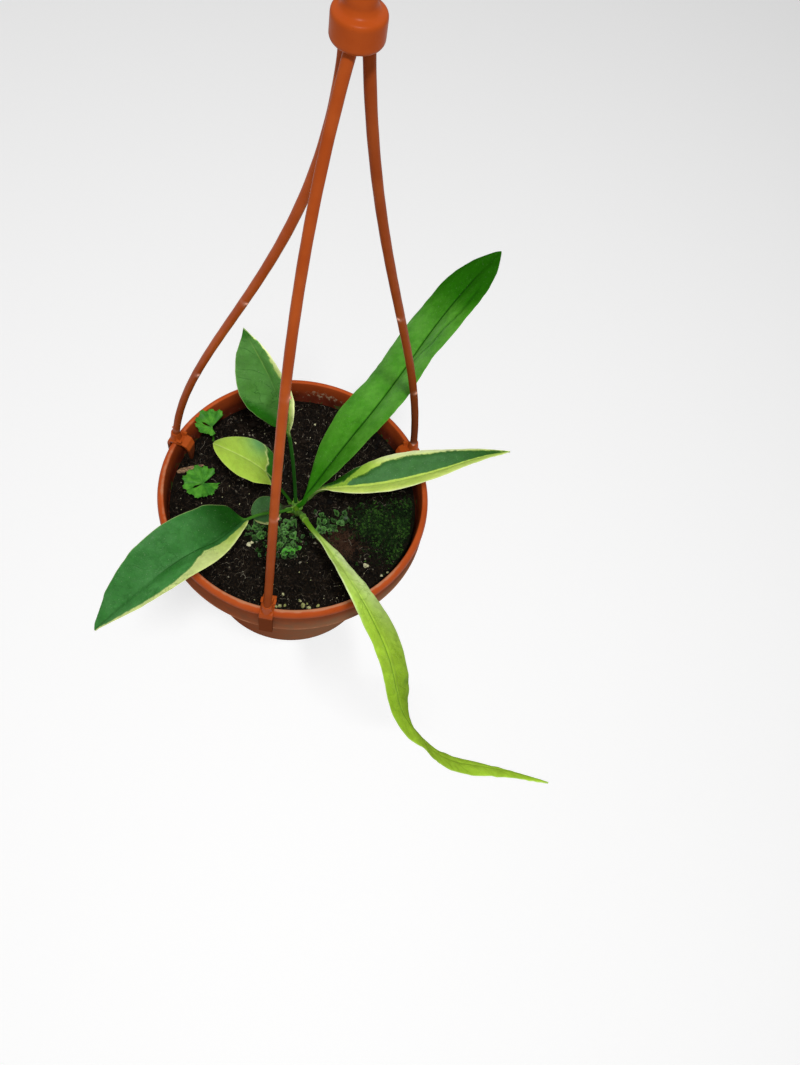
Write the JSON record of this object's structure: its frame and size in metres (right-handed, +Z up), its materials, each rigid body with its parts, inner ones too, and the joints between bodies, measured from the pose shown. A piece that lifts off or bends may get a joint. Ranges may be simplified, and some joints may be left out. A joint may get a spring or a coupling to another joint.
{
  "type": "potted anthurium in a hanging pot",
  "caption": "Young anthurium with plain and variegated leaves, one of them long and trailing, in a tapered plastic pot hung from a clip-on hanger with an open hook.",
  "frame": {"origin": "the point inside the hook on which the whole pot hangs", "axes": "+Z up along the hanging pot, -Y towards the front clip of the hanger, +X to the right seen from the front"},
  "size_m": [0.2279, 0.2471, 0.4025],
  "materials": {
    "pot_plastic": "satin moulded plastic in terracotta brown, with pale deposits inside",
    "hanger_plastic": "smooth moulded plastic in orange brown",
    "peat": "moist dark peat with fibres, moss and pale grains",
    "crown_skin": "matt green-brown rootstock",
    "green_leaf": "waxy mid green leaf",
    "variegated_leaf": "waxy dark green leaf with cream and yellow-green areas",
    "pale_leaf": "waxy pale yellow-green leaf",
    "seedling_leaf": "bright green thin leaf",
    "bark": "dry bark"
  },
  "bodies": {
    "root": {"pot": "pot_plastic", "soil": "peat", "hanger": "hanger_plastic", "crown": "crown_skin", "leaf_tall": "green_leaf", "leaf_right": "variegated_leaf", "leaf_left": "variegated_leaf", "leaf_back": "variegated_leaf", "leaf_young": "pale_leaf", "leaf_trailing": "pale_leaf", "leaf_small": "green_leaf", "seedling_front": "seedling_leaf", "seedling_back": "seedling_leaf", "bark_chip": "bark"}
  },
  "joints": []
}
